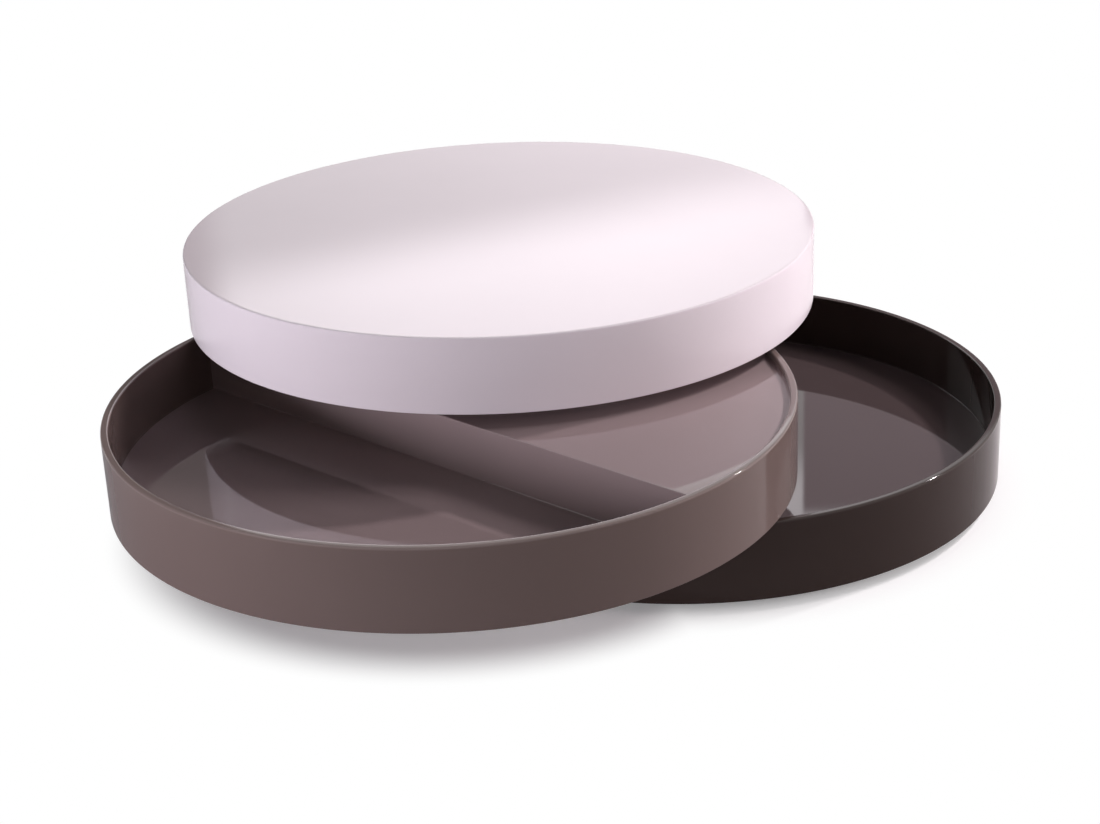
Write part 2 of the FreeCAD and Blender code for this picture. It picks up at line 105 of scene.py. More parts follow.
def gridPiece(name, points, closeRows=True, closeColumns=True, wearAndSheen=None, merge=2e-6, crease=32):
    # A grid of points, (copies, rows, columns, 3), becomes one mesh of quads, joined round where closed.
    # Meeting points are merged, which closes seams and poles, and the faces are turned outwards.
    copies, rows, columns = points.shape[:3]
    row, column = np.meshgrid(np.arange(rows if closeRows else rows - 1),
                              np.arange(columns if closeColumns else columns - 1), indexing="ij")
    nextRow, nextColumn = (row + 1) % rows, (column + 1) % columns
    quads = np.stack([row * columns + column, row * columns + nextColumn,
                      nextRow * columns + nextColumn, nextRow * columns + column], axis=-1).reshape(1, -1, 4)
    quads = (quads + np.arange(copies)[:, None, None] * rows * columns).reshape(-1, 4)
    mesh = bpy.data.meshes.new(name)
    mesh.vertices.add(copies * rows * columns)
    mesh.vertices.foreach_set("co", points.astype(np.float32).ravel())
    mesh.loops.add(quads.size)
    mesh.loops.foreach_set("vertex_index", quads.astype(np.int32).ravel())
    mesh.polygons.add(len(quads))
    mesh.polygons.foreach_set("loop_start", np.arange(0, quads.size, 4, dtype=np.int32))
    mesh.update(calc_edges=True)
    # per row: wear and painted highlight on rounded edges, kept on the mesh for the shaders
    wearAndSheenRows = np.zeros(rows) if wearAndSheen is None else wearAndSheen
    layer = mesh.attributes.new("wearAndSheen", "FLOAT", "POINT")
    layer.data.foreach_set("value", np.tile(np.repeat(wearAndSheenRows, columns), copies).astype(np.float32))
    shell = bmesh.new()
    shell.from_mesh(mesh)
    bmesh.ops.remove_doubles(shell, verts=shell.verts, dist=merge)
    bmesh.ops.recalc_face_normals(shell, faces=shell.faces)
    shell.to_mesh(mesh)
    shell.free()
    mesh.polygons.foreach_set("use_smooth", np.ones(len(mesh.polygons), dtype=bool))
    mesh.set_sharp_from_angle(angle=math.radians(crease))
    piece = bpy.data.objects.new(name, mesh)
    bpy.context.scene.collection.objects.link(piece)
    return piece


def fit(piece, body, slot, material, *nodes):
    piece.data.materials.append(material)
    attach(piece, body)
    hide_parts(*nodes)


# Shader maths: a wire is one socket of a node tree

class Wire:
    def __init__(self, tree, socket=None):
        self.tree = tree
        self.socket = socket

    def node(self, kind, settings=None, inputs=None, out=0):
        made = self.tree.nodes.new(kind)
        for key, value in (settings or {}).items():
            setattr(made, key, value)
        for key, value in (inputs or {}).items():
            if isinstance(value, Wire):
                self.tree.links.new(value.socket, made.inputs[key])
            else:
                made.inputs[key].default_value = value
        return Wire(self.tree, made.outputs[out])

    def beside(self, key):
        # another socket of the same node
        return Wire(self.tree, self.socket.node.outputs[key])

    def maths(self, operation, first, second):
        return self.node("ShaderNodeMath", {"operation": operation}, {0: first, 1: second})

    def __add__(self, other):
        return self.maths("ADD", self, other)

    def __radd__(self, other):
        return self.maths("ADD", other, self)

    def __sub__(self, other):
        return self.maths("SUBTRACT", self, other)

    def __rsub__(self, other):
        return self.maths("SUBTRACT", other, self)

    def __mul__(self, other):
        return self.maths("MULTIPLY", self, other)

    def __rmul__(self, other):
        return self.maths("MULTIPLY", other, self)

    def __pow__(self, other):
        return self.maths("POWER", self, other)

    def between(self, low, high):
        return self.node("ShaderNodeMapRange", {"interpolation_type": "SMOOTHSTEP"},
                         {"Value": self, "From Min": low, "From Max": high})

    def blend(self, first, second):
        return self.node("ShaderNodeMix", {"data_type": "RGBA"}, {0: self, 6: first, 7: second}, 2)

    def noise(self, scale, detail=2.0, roughness=0.5, distortion=0.0):
        return self.node("ShaderNodeTexNoise", None, {"Vector": self, "Scale": scale, "Detail": detail,
                         "Roughness": roughness, "Distortion": distortion})

    def cells(self, scale, out):
        return self.node("ShaderNodeTexVoronoi", {"feature": "F1"}, {"Vector": self, "Scale": scale}, out)

    def stretched(self, scale, turn):
        return self.node("ShaderNodeMapping", None, {"Vector": self, "Scale": scale,
                         "Rotation": tuple(math.radians(angle) for angle in turn)})

    def bump(self, strength, distance):
        return self.node("ShaderNodeBump", None, {"Height": self, "Strength": strength, "Distance": distance})


def newMaterial(name):
    material = bpy.data.materials.new(name)
    material.use_nodes = True
    return material, Wire(material.node_tree)


def newFinish(name):
    material, wire = newMaterial(name)
    return material, wire.tree.nodes["Principled BSDF"], wire.node("ShaderNodeTexCoord", out="Object")


def feed(shader, **links):
    for key, wire in links.items():
        wire.tree.links.new(wire.socket, shader.inputs[key.replace("_", " ")])


def shade(colour, gain):
    return tuple(min(channel * gain, 1.0) for channel in colour) + (1.0,)


# lacquer on the three tiers: satin on the walls, polished on floors and deck. The polished tones are about
# twice as light as the satin ones of the same lacquer: painted light, for the extra light on floors and deck
lacquers = {
    "brownSatin": {"tone": (0.0415, 0.0285, 0.0250), "roughness": 0.07, "gloss": 0.10, "peel": 0.05},
    "brownPolishPaintedLit": {"tone": (0.090, 0.067, 0.067), "roughness": 0.035, "gloss": 0.45, "peel": 0.03},
    "taupeSatin": {"tone": (0.163, 0.121, 0.111), "roughness": 0.07, "gloss": 0.12, "peel": 0.05},
    "taupePolishPaintedLit": {"tone": (0.340, 0.266, 0.266), "roughness": 0.035, "gloss": 0.75, "peel": 0.03},
    "whiteLacquer": {"tone": (0.850, 0.785, 0.825), "roughness": 0.09, "gloss": 0.2, "peel": 0.04},
}


def polishedLacquer(name):
    # clouded tone, a few dust specks under the clear, wiped smears in the gloss, orange peel,
    # rounded edges worn to a shine and lightened with a painted highlight
    look = lacquers[name]
    material, shader, where = newFinish(name)
    cloud = where.noise(scale=4.5, detail=3, roughness=0.55)
    grain = where.noise(scale=700)
    wipe = where.stretched((7, 11, 9), turn=(0, 0, 24))
    smear = wipe.noise(scale=1.0, detail=4, roughness=0.6, distortion=1.4).between(0.52, 0.78)
    dust = 1 - where.cells(scale=55, out="Distance").between(0.012, 0.022)
    wearAndSheen = where.node("ShaderNodeAttribute", {"attribute_name": "wearAndSheen"}, out="Fac")
    tone = cloud.blend(shade(look["tone"], 0.965), shade(look["tone"], 1.035))
    tone = (dust * 0.35).blend(tone, shade(look["tone"], 1.3))
    # painted highlight: rims and rounded edges lightened up to 1.6 times, partly wear, partly the light they
    # catch
    tone = (wearAndSheen * 0.8).blend(tone, shade(look["tone"], 1.6))
    gloss = look["roughness"] + smear * 0.022 + (grain - 0.5) * 0.012
    peel = where.noise(scale=150, detail=1, roughness=0.4).bump(look["peel"], distance=0.00012)
    feed(shader, Base_Color=tone, Roughness=gloss, Coat_Weight=wearAndSheen, Normal=peel)
    shader.inputs["Coat Roughness"].default_value = 0.06
    shader.inputs["IOR"].default_value = 1.5
    shader.inputs["Specular IOR Level"].default_value = look["gloss"]
    return material


def fibreBoard(name, tone):
    # pressed fibres: short streaks in every direction, dense darker flecks, a dull sanded face
    material, shader, where = newFinish(name)
    streak = where.stretched((1, 5, 3), turn=(20, 35, 50)).noise(scale=180, detail=4, roughness=0.65)
    fleck = where.noise(scale=900, roughness=0.6)
    patch = where.noise(scale=14, detail=3)
    colour = streak.blend(shade(tone, 0.78), shade(tone, 1.22))
    colour = fleck.between(0.58, 0.75).blend(colour, shade(tone, 0.55))
    colour = (patch * 0.4).blend(colour, shade(tone, 1.1))
    feed(shader, Base_Color=colour, Roughness=0.72 + fleck * 0.2,
         Normal=(streak + fleck * 0.6).bump(strength=0.25, distance=0.0003))
    shader.inputs["Specular IOR Level"].default_value = 0.3
    return material


def turnedMetal(name, tone, roughness):
    # tool rings round the swivel axis: noise that runs only with the height and the distance from the axis
    material, shader, where = newFinish(name)
    centred = where.node("ShaderNodeMapping", None, {"Vector": where,
                         "Location": (-layout["pivot"][0], -layout["pivot"][1], 0)})
    east = where.node("ShaderNodeSeparateXYZ", None, {"Vector": centred})
    north, height = east.beside("Y"), east.beside("Z")
    radius = (east * east + north * north) ** 0.5
    track = where.node("ShaderNodeCombineXYZ", None, {"X": radius, "Y": height})
    ring = track.noise(scale=2600, roughness=0.6)
    stain = where.noise(scale=30, detail=4, roughness=0.6)
    colour = ring.blend(shade(tone, 0.88), shade(tone, 1.08))
    colour = stain.between(0.5, 0.8).blend(colour, shade(tone, 0.82))
    feed(shader, Base_Color=colour, Roughness=roughness + ring * 0.12 + stain * 0.06,
         Normal=ring.bump(strength=0.25, distance=0.0001))
    shader.inputs["Metallic"].default_value = 1.0
    return material


def platedSteel(name, tone, roughness):
    # zinc spangle in cells, with fine pits and yellowish stains
    material, shader, where = newFinish(name)
    spangle = where.node("ShaderNodeSeparateColor", None, {"Color": where.cells(scale=1400, out="Color")})
    pit = where.noise(scale=3200)
    stain = where.noise(scale=260, detail=3).between(0.55, 0.8)
    colour = spangle.blend(shade(tone, 0.9), shade(tone, 1.1))
    colour = (stain * 0.5).blend(colour, shade((0.62, 0.55, 0.36), 0.9))
    feed(shader, Base_Color=colour, Roughness=roughness + spangle * 0.12 + pit * 0.08,
         Normal=pit.bump(strength=0.12, distance=0.00005))
    shader.inputs["Metallic"].default_value = 1.0
    return material


def powderCoat(name, tone):
    # fine leathery crust with lighter rubbed crowns and a little dust
    material, shader, where = newFinish(name)
    crust = where.noise(scale=1500, detail=3, roughness=0.55)
    dust = where.noise(scale=60, detail=5, roughness=0.7).between(0.55, 0.8)
    colour = crust.between(0.4, 0.7).blend(shade(tone, 0.75), shade(tone, 1.5))
    colour = (dust * 0.35).blend(colour, (0.12, 0.115, 0.11, 1))
    feed(shader, Base_Color=colour, Roughness=0.55 + dust * 0.2,
         Normal=crust.bump(strength=0.35, distance=0.00025))
    return material


def mouldedPlastic(name, tone):
    # spark eroded mould face with a faint scuff
    material, shader, where = newFinish(name)
    face = where.noise(scale=2400, detail=3, roughness=0.6)
    scuff = where.stretched((1, 8, 1), turn=(0, 0, 35)).noise(scale=90, detail=3).between(0.6, 0.75)
    colour = face.blend(shade(tone, 0.85), shade(tone, 1.25))
    colour = (scuff * 0.3).blend(colour, shade(tone, 3.0))
    feed(shader, Base_Color=colour, Roughness=0.5 + face * 0.12 + scuff * 0.1,
         Normal=face.bump(strength=0.3, distance=0.0002))
    return material


def pressedFelt(name, tone):
    # tangled fibres, lighter and darker wool mixed
    material, shader, where = newFinish(name)
    wool = {"detail": 4, "roughness": 0.7, "distortion": 0.8}
    fibre = where.stretched((1, 6, 2), turn=(0, 20, 40)).noise(scale=1100, **wool)
    cross = where.stretched((6, 1, 2), turn=(15, 0, -25)).noise(scale=900, **wool)
    tangle = fibre * 0.5 + cross * 0.5
    colour = tangle.between(0.35, 0.65).blend(shade(tone, 0.55), shade(tone, 1.6))
    feed(shader, Base_Color=colour, Roughness=0.85 + tangle * 0.15,
         Normal=tangle.bump(strength=0.8, distance=0.0006))
    shader.inputs["Sheen Weight"].default_value = 0.3
    return material


brownSatin = polishedLacquer("brownSatin")
brownPolishPaintedLit = polishedLacquer("brownPolishPaintedLit")
taupeSatin = polishedLacquer("taupeSatin")
taupePolishPaintedLit = polishedLacquer("taupePolishPaintedLit")
whiteLacquer = polishedLacquer("whiteLacquer")
rawBoard = fibreBoard("rawFibreboard", tone=(0.36, 0.23, 0.12))
blackBoard = fibreBoard("blackFibreboard", tone=(0.022, 0.021, 0.02))
turnedAluminium = turnedMetal("turnedAluminium", tone=(0.62, 0.63, 0.65), roughness=0.24)
ballSteel = turnedMetal("ballSteel", tone=(0.58, 0.58, 0.60), roughness=0.08)
zincSteel = platedSteel("zincSteel", tone=(0.52, 0.52, 0.53), roughness=0.28)
blackCoat = powderCoat("blackPowderCoat", tone=(0.028, 0.028, 0.029))
blackPlastic = mouldedPlastic("blackPlastic", tone=(0.02, 0.02, 0.021))
greyFelt = pressedFelt("greyFelt", tone=(0.10, 0.095, 0.09))
print("finishes made:", len(bpy.data.materials))


# Trays: bent wall with a rounded rim and a bead of lacquer where the floor meets it
trayWall = {
    "height": 0.096,
    "rimRound": 0.0020,
    "arrisRound": 0.0010,
    "floorTop": 0.022,
    "bead": 0.0012,        # radius of the lacquer pooled in the corner
    "film": 0.00004,       # lacquer over the floor
    "lip": 0.0004,         # flat edge of the bead on the floor
    "root": 0.0003,        # how deep the bead goes into the floor
    "rimWearAndSheen": {"base": 0.3, "middle": 0.6},        # only the rim is handled; its wear and painted highlight
    "segments": 384,
}


def makeTrayWall(name, tier, slot, material):
    bore, outside, top = layout["wallBore"], layout["discRadius"], trayWall["height"]
    floor = trayWall["floorTop"] + trayWall["film"]
    root = floor - trayWall["root"]
    inward = bore - trayWall["bead"] - trayWall["lip"]
    section = roundedSection([
        (bore, 0, 0), (outside, 0, trayWall["arrisRound"]), (outside, top, trayWall["rimRound"]),
        (bore, top, trayWall["rimRound"]), (bore, floor, trayWall["bead"]), (inward, floor, 0),
        (inward - trayWall["root"], root, 0), (bore, root, 0)])[0]
    rimFoot = top - trayWall["rimRound"] * 1.01        # a hair under the round
    # the whole rim top, flat and rounded, is lightened: wear and a painted highlight where it faces up into
    # the light
    wearAndSheen = trayWall["rimWearAndSheen"][tier] * (section[:, 1] > rimFoot)
    points = turned(section, discCentre(tier), layout["level"][tier], trayWall["segments"])
    fit(gridPiece(name, points, wearAndSheen=wearAndSheen), tier, slot, material, tier + "_wall")


makeTrayWall("base_tray_wall", "base", "brown_lacquer", brownSatin)
makeTrayWall("middle_tray_wall", "middle", "taupe_lacquer", taupeSatin)


# Step of the middle tray: raised deck and riser in one lacquered skin
traySteps = {
    "face": 0.039,          # front of the riser beyond the middle of the disc
    "riser": 0.016,
    "deckTop": 0.087,       # over the underside of the tray
    "deck": 0.016,
    "foot": 0.022,
    "nosing": 0.0012,       # rounded front edge
    # painted highlight along the rounded nosing, with its wear
    "noseWearAndSheen": 0.15,
    "bead": 0.0012,
    "guard": 0.001,         # flat kept beside the nosing and the bead
    "setBack": 0.002,       # from the nosing to the deck's first row
    "intoWall": 0.0003,
    "arcRows": 9,
    "deckRows": 90,
    "columns": 64,
    "crowding": 1.5,        # over 1 sets the columns closer at the wall
}


def makeTraySteps():
    # A skin is a line of (u, z), u being the distance from the disc's middle away from the swivel axis. It is
    # carried along the straight step to the round wall: v = t * sqrt(bore^2 - u^2), t from -1 to 1. The outer
    # skin goes up the riser and back over the deck, the inner skin runs behind it, and both close on a line
    # midway at the wall.
    look = traySteps
    deckTop, deckRows, nosing, bead = [look[key] for key in ("deckTop", "deckRows", "nosing", "bead")]
    bore = layout["wallBore"] + look["intoWall"]
    front, back = look["face"], look["face"] - look["riser"]
    foot, under = look["foot"] + trayWall["film"], deckTop - look["deck"]
    edge = np.linspace(0, math.pi / 2, look["arcRows"])
    cove = np.stack([front + bead * (1 - np.sin(edge)), foot + bead * (1 - np.cos(edge))], axis=1)
    nose = np.stack([front - nosing * (1 - np.cos(edge)), deckTop - nosing * (1 - np.sin(edge))], axis=1)
    guards = [[front, foot + bead + look["guard"]], [front, deckTop - nosing - look["guard"]]]
    spread = np.linspace(math.acos((front - nosing - look["setBack"]) / bore), math.pi, deckRows)
    deck = np.stack([bore * np.cos(spread), np.full(deckRows, deckTop)], axis=1)
    outer = np.concatenate([cove, guards, nose, deck])
    climbRows = len(outer) - deckRows
    climb = np.stack([np.full(climbRows, back), np.linspace(look["foot"], under, climbRows)], axis=1)
    ceiling = np.stack([np.minimum(deck[:, 0], back), np.full(deckRows, under)], axis=1)
    inner = np.concatenate([climb, ceiling])
    spine = (outer + inner) / 2
    loop = np.concatenate([outer, inner[::-1]])
    close = np.concatenate([spine, spine[::-1]])
    t = np.concatenate([[-1], np.linspace(-1, 1, look["columns"]), [1]])
    t = np.sign(t) * (1 - (1 - abs(t)) ** look["crowding"])
    u = np.repeat(loop[:, :1], len(t), axis=1)
    z = np.repeat(loop[:, 1:], len(t), axis=1)
    u[:, [0, -1]], z[:, [0, -1]] = close[:, :1], close[:, 1:]
    v = t * np.sqrt(np.maximum(bore ** 2 - u ** 2, 0))
    away = heading(layout["swing"]["middle"])
    aside = np.array([-away[1], away[0]])
    centre = discCentre("middle")
    points = np.stack([centre[0] + u * away[0] + v * aside[0], centre[1] + u * away[1] + v * aside[1],
                       layout["level"]["middle"] + z], axis=-1)[None]
    # wear and painted highlight across the nosing's arc
    wearAndSheen = np.concatenate([np.zeros(len(cove) + len(guards)), look["noseWearAndSheen"] * np.sin(edge * 2),
                          np.zeros(deckRows + len(inner))])
    piece = gridPiece("middle_tray_step", points, closeColumns=False, wearAndSheen=wearAndSheen)
    fit(piece, "middle", "taupe_lacquer", taupePolishPaintedLit, "middle_riser", "middle_deck")


makeTraySteps()

# Top: upper panel and skirt under one skin of lacquer
topShell = {
    "height": 0.092,
    "panel": 0.019,
    "rimRound": 0.0020,
    "arrisRound": 0.0010,
    # painted highlight and wear on the top's upper rim
    "rimWearAndSheen": 0.1,
    "segments": 480,
}


def makeTop():
    height, outside, bore = topShell["height"], layout["discRadius"], layout["wallBore"]
    roof = height - topShell["panel"]
    section, wearAndSheen = roundedSection([
        (0, height, 0), (outside / 2, height, 0), (outside, height, topShell["rimRound"]),
        (outside, 0, topShell["arrisRound"]), (bore, 0, 0), (bore, roof, 0), (0, roof, 0)])
    # only the upper rim keeps its wear and painted highlight
    wearAndSheen = topShell["rimWearAndSheen"] * wearAndSheen * (section[:, 1] > roof)
    points = turned(section, discCentre("top"), layout["level"]["top"], topShell["segments"])
    piece = gridPiece("top_shell", points, closeRows=False, wearAndSheen=wearAndSheen)
    fit(piece, "top", "white_lacquer", whiteLacquer, "top_panel", "top_skirt")


makeTop()

# Hub of the base tray, a turned cup with a rounded crown
hub = {
    "radius": 0.172,
    "wall": 0.014,
    "height": 0.074,
    "crown": 0.016,
    "handHole": 0.050,
    "round": 0.0020,
    "holeRound": 0.0006,
    "bead": 0.001,          # lacquer pooled round the foot
    "segments": 240,
}


def makeHub():
    radius, height, hole = hub["radius"], hub["height"], hub["handHole"]
    bore, under = radius - hub["wall"], height - hub["crown"]
    film = trayWall["film"]
    section, wearAndSheen = roundedSection([
        (bore, 0, 0), (radius + hub["bead"], film, 0), (radius, film + hub["bead"], 0),
        (radius, height, hub["round"]), (hole, height, hub["holeRound"]), (hole, under, hub["holeRound"]),
        (bore, under, 0)])
    points = turned(section, layout["pivot"], layout["level"]["base"] + trayWall["floorTop"], hub["segments"])
    # the crown's and hand hole's rounded edges carry wear and a painted highlight
    fit(gridPiece("base_tray_hub", points, wearAndSheen=wearAndSheen), "base", "brown_lacquer", brownSatin, "base_hub")


makeHub()

# how finely small edges are rounded
turnedEdge = {"steps": 3, "guard": 0.0004}
mouldedEdge = {"steps": 4, "guard": 0.0004}

# Turntable bearings: two stepped rings each, with a ball race between them
bearing = {
    "outside": 0.150,
    "ringWidth": 0.0145,
    "ringGap": 0.001,
    "height": 0.010,
    "step": 0.002,
    "race": 0.00275,        # radius of the groove
    "racePoints": 13,
    "chamfer": 0.0004,
    "level": {"lower": 0.110, "upper": 0.214},
    "segments": 240,
}


def makeBearingRing(name, side, body, level):
    # side is 1 for the outer ring and -1 for the inner ring; the race is an arc cut into the ring's free edge
    middle = bearing["outside"] - bearing["ringWidth"] - bearing["ringGap"] / 2
    face = middle + side * bearing["ringGap"] / 2
    far = face + side * bearing["ringWidth"]
    low = 0 if side > 0 else bearing["step"]
    high = low + bearing["height"] - bearing["step"]
    reach = math.asin(bearing["ringGap"] / 2 / bearing["race"])
    sweep = np.linspace(reach, math.pi - reach, bearing["racePoints"])
    race = np.stack([middle + side * bearing["race"] * np.sin(sweep),
                     bearing["height"] / 2 + bearing["race"] * np.cos(sweep)], axis=1)
    block = roundedSection([(face, low, 0), (far, low, bearing["chamfer"]), (far, high, bearing["chamfer"]),
                            (face, high, 0)], **turnedEdge)[0]
    points = turned(np.concatenate([block, race]), layout["pivot"], level, bearing["segments"])
    fit(gridPiece(name + "_turned", points), body, "bearing_aluminium", turnedAluminium, name)


for storey, below, above in (("lower", "base", "middle"), ("upper", "middle", "top")):
    makeBearingRing(storey + "_bearing_outer_ring", 1, below, bearing["level"][storey])
    makeBearingRing(storey + "_bearing_inner_ring", -1, above, bearing["level"][storey])

# Spacer under the upper bearing
spacer = {"bore": 0.120, "outside": 0.150, "height": 0.007, "level": 0.207, "round": 0.0004, "segments": 240}


def makeSpacer():
    bore, outside, height, edge = [spacer[key] for key in ("bore", "outside", "height", "round")]
    section = roundedSection([(bore, 0, 0), (outside, 0, edge), (outside, height, edge), (bore, height, 0)],
                             **turnedEdge)[0]
    points = turned(section, layout["pivot"], spacer["level"], spacer["segments"])
    fit(gridPiece("spacer_ring", points), "middle", "black_board", blackBoard, "bearing_spacer")


makeSpacer()
print("tiers and bearings made")


# Floor glides with felt pads
glides = {
    "circle": 0.352,
    "count": 6,
    "height": 0.014,
    "radius": 0.018,
    "rim": 0.004,
    "pad": (0.015, 0.003),      # radius and thickness
    "padPlay": 0.0002,          # the pad is this much smaller than its seat
    "well": 0.005,              # radius of the bore for the screw's head
    "seat": 0.009,              # level of the head's seat
    "hole": 0.00215,
    "rounds": {"top": 0.0003, "rim": 0.0012, "foot": 0.0004, "well": 0.0003, "padFoot": 0.0007,
               "padTop": 0.0003},
    "segments": 64,
}


def roundPlaces(centre, circle, count, start):
    turn = np.radians(start + np.arange(count) * 360 / count)
    return np.asarray(centre) + circle * np.stack([np.cos(turn), np.sin(turn)], axis=1)


def makeGlides():
    places = roundPlaces(discCentre("base"), glides["circle"], glides["count"], layout["swing"]["base"])
    height, radius, well, seat, hole = [glides[key] for key in ("height", "radius", "well", "seat", "hole")]
    padRadius, padTop = glides["pad"]
    padEdge = padRadius - glides["padPlay"]
    rounds = glides["rounds"]
    foot = roundedSection([
        (hole, height, 0), (radius, height, rounds["top"]), (radius, height - glides["rim"], rounds["rim"]),
        (padRadius, padTop, rounds["foot"]), (well, padTop, rounds["well"]), (well, seat, 0),
        (hole, seat, 0)], **mouldedEdge)[0]
    pad = roundedSection([(0, 0, 0), (padEdge, 0, rounds["padFoot"]), (padEdge, padTop, rounds["padTop"]),
                          (0, padTop, 0)], **mouldedEdge)[0]
    fit(gridPiece("floor_glides_moulded", turned(foot, places, 0, glides["segments"])),
        "base", "glide_plastic", blackPlastic, "floor_glides")
    fit(gridPiece("glide_pads_felt", turned(pad, places, 0, glides["segments"]), closeRows=False),
        "base", "pad_felt", greyFelt, "glide_pads")


makeGlides()

# Screws and bolts with six-lobed sockets, heads down
fasteners = {
    "hub_screws": {"body": "base", "kind": "sunk", "circle": 0.165, "count": 6, "start": 61.8,
                   "foot": 0.014, "length": 0.034},
    "ballast_screws": {"body": "base", "kind": "sunk", "circle": 0.305, "count": 8, "start": 31.8,
                       "foot": 0.008, "length": 0.018, "onDisc": True},
    "glide_screws": {"body": "base", "kind": "pan", "circle": 0.352, "count": 6, "start": 31.8,
                     "foot": 0.0065, "length": 0.0195, "onDisc": True},
    "lower_bearing_bolts": {"body": "base", "kind": "bolt", "circle": 0.1445, "count": 6, "start": 31.8,
                            "foot": 0.0905, "length": 0.0255},
    "lower_bearing_screws": {"body": "middle", "kind": "sunk", "circle": 0.1255, "count": 6, "start": 227.5,
                             "foot": 0.112, "length": 0.020},
    "upper_bearing_bolts": {"body": "middle", "kind": "bolt", "circle": 0.1445, "count": 6, "start": 227.5,
                            "foot": 0.1875, "length": 0.0325},
    "upper_bearing_screws": {"body": "top", "kind": "sunk", "circle": 0.1255, "count": 6, "start": 111.2,
                             "foot": 0.216, "length": 0.020},
}
# outline of each kind over its head's face: radius and height of the corners, and the socket's size and depth
fastenerKinds = {
    "sunk": {"head": [(0.0037, 0), (0.0040, 0.0002), (0.0020, 0.0020)], "socket": 0.0016, "depth": 0.0014},
    "pan": {"head": [(0.0029, 0), (0.0036, 0.0006), (0.0040, 0.0015), (0.0040, 0.0025), (0.0020, 0.0025)],
            "socket": 0.0017, "depth": 0.0015},
    "bolt": {"head": [(0.0042, 0), (0.00475, 0.0006), (0.00475, 0.0035), (0.0025, 0.0035)],
             "socket": 0.0023, "depth": 0.0022},
}
fastenerShape = {
    "lobes": 6,
    "wallLobe": 0.12,       # how far the lobes stand out, as a share of the radius
    "mouthLobe": 0.11,
    "bevel": 0.0001,        # depth of the socket's bevelled mouth
    "tip": 0.0004,          # radius of the shank's end
    "twist": 0.37,          # turn from one socket to the next, in radians
    "segments": 48,
}


def makeFasteners(node, row):
    # Every ring of points is radius * (1 + lobe * cos 6(a + twist)), a being the angle: lobed in the socket,
    # round from the head's edge on.
    kind, shape = fastenerKinds[row["kind"]], fastenerShape
    size, depth, length = kind["socket"], kind["depth"], row["length"]
    shank = kind["head"][-1][0]
    rings = [(0, depth, 0), (size * 0.5, depth, 0), (size * 0.9, depth * 0.9, shape["wallLobe"]),
             (size, shape["bevel"], shape["wallLobe"]), (size * 1.06, 0, shape["mouthLobe"])]
    rings += [corner + (0,) for corner in kind["head"]]
    rings += [(shank, length - shank, 0), (shape["tip"], length, 0), (0, length, 0)]
    radius, height, lobe = np.array(rings).T
    centre = discCentre("base") if row.get("onDisc") else layout["pivot"]
    places = roundPlaces(centre, row["circle"], row["count"], row["start"])
    angle = np.arange(shape["segments"]) * 2 * math.pi / shape["segments"]
    twist = np.arange(row["count"])[:, None, None] * shape["twist"]
    wave = np.cos(shape["lobes"] * angle + twist * shape["lobes"])
    spread = radius[None, :, None] * (1 + lobe[None, :, None] * wave)
    x = places[:, 0, None, None] + spread * np.cos(angle)
    y = places[:, 1, None, None] + spread * np.sin(angle)
    z = row["foot"] + height[None, :, None] + 0 * x
    piece = gridPiece(node + "_driven", np.stack([x, y, z], axis=-1), closeRows=False)
    fit(piece, row["body"], "fastener_steel", zincSteel, node)


for node, row in fasteners.items():
    makeFasteners(node, row)
print("glides and fasteners made")

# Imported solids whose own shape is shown, with their finishes
carriedOver = {
    "base_floor": brownPolishPaintedLit,
    "middle_floor": taupePolishPaintedLit,
    "top_underside": whiteLacquer,
    "ballast_plate": blackCoat,
    "middle_drum": rawBoard,
    "deck_ledger": rawBoard,
    "top_drum": rawBoard,
    "top_ribs": rawBoard,
    "lower_bearing_balls": ballSteel,
    "upper_bearing_balls": ballSteel,
}
for node, material in carriedOver.items():
    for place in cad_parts[node].material_slots:
        place.material = material
print("finishes on packed solids:", len(carriedOver))

# Stage: pale floor, feathered light panels, dim cards that only reflections show, white surroundings
floorLook = {
    "halfSize": 9.0,
    "paint": 0.75,           # as it lights the table
    "mirrored": 0.90,        # as it is seen in the lacquer
    "shown": 0.95,           # as it is seen in the shadow
    "lift": 0.15,            # plain white added there
    "bed": (0.36, 0.45),     # from shadow to plain white, round the base and the middle tray
    "setBack": 0.15,         # how far behind the middle tray its shadow lies
    "fade": (1.1, 2.6),      # where the mirrored floor turns to plain white
}
# Small key for the shadow's edges, wash that softens them, side and fill for the walls, strip that the top
# mirrors. Those that are not mirrored stay out of all reflections, where they would burn out.
panels = {
    "key": {"centre": (2.327, 0.847, 2.066), "aim": (0.0, 0.0, 0.2), "size": (0.20, 0.20), "turn": 0,
            "level": 543.0, "feather": (0.2, 0.2), "tint": (1.0, 0.92, 0.945)},
    "wash": {"centre": (2.266, 0.079, 2.314), "aim": (0.0, 0.0, 0.2), "size": (1.0, 1.0), "turn": 0,
             "level": 15.1, "feather": (0.2, 0.2), "tint": (1.0, 0.92, 0.945), "mirrored": False},
    "side": {"centre": (2.853, -0.765, 0.8), "aim": (0.0, 0.0, 0.2), "size": (1.5, 1.5), "turn": 0,
             "level": 6.6, "feather": (0.2, 0.2), "tint": (1.0, 0.90, 0.94), "mirrored": False},
    "fill": {"centre": (-2.535, -1.584, 0.46), "aim": (0.0, 0.0, 0.2), "size": (1.8, 0.8), "turn": 0,
             "level": 17.6, "feather": (0.2, 0.2), "tint": (1.0, 0.955, 1.04), "mirrored": False},
    "strip": {"centre": (-0.12, 1.2, 0.813), "aim": (-0.12, 0.0, 0.813), "size": (2.3, 0.42), "turn": -7.75,
              "level": 3.5, "feather": (0.45, 0.286), "tint": (1.0, 0.95, 0.985)},
}
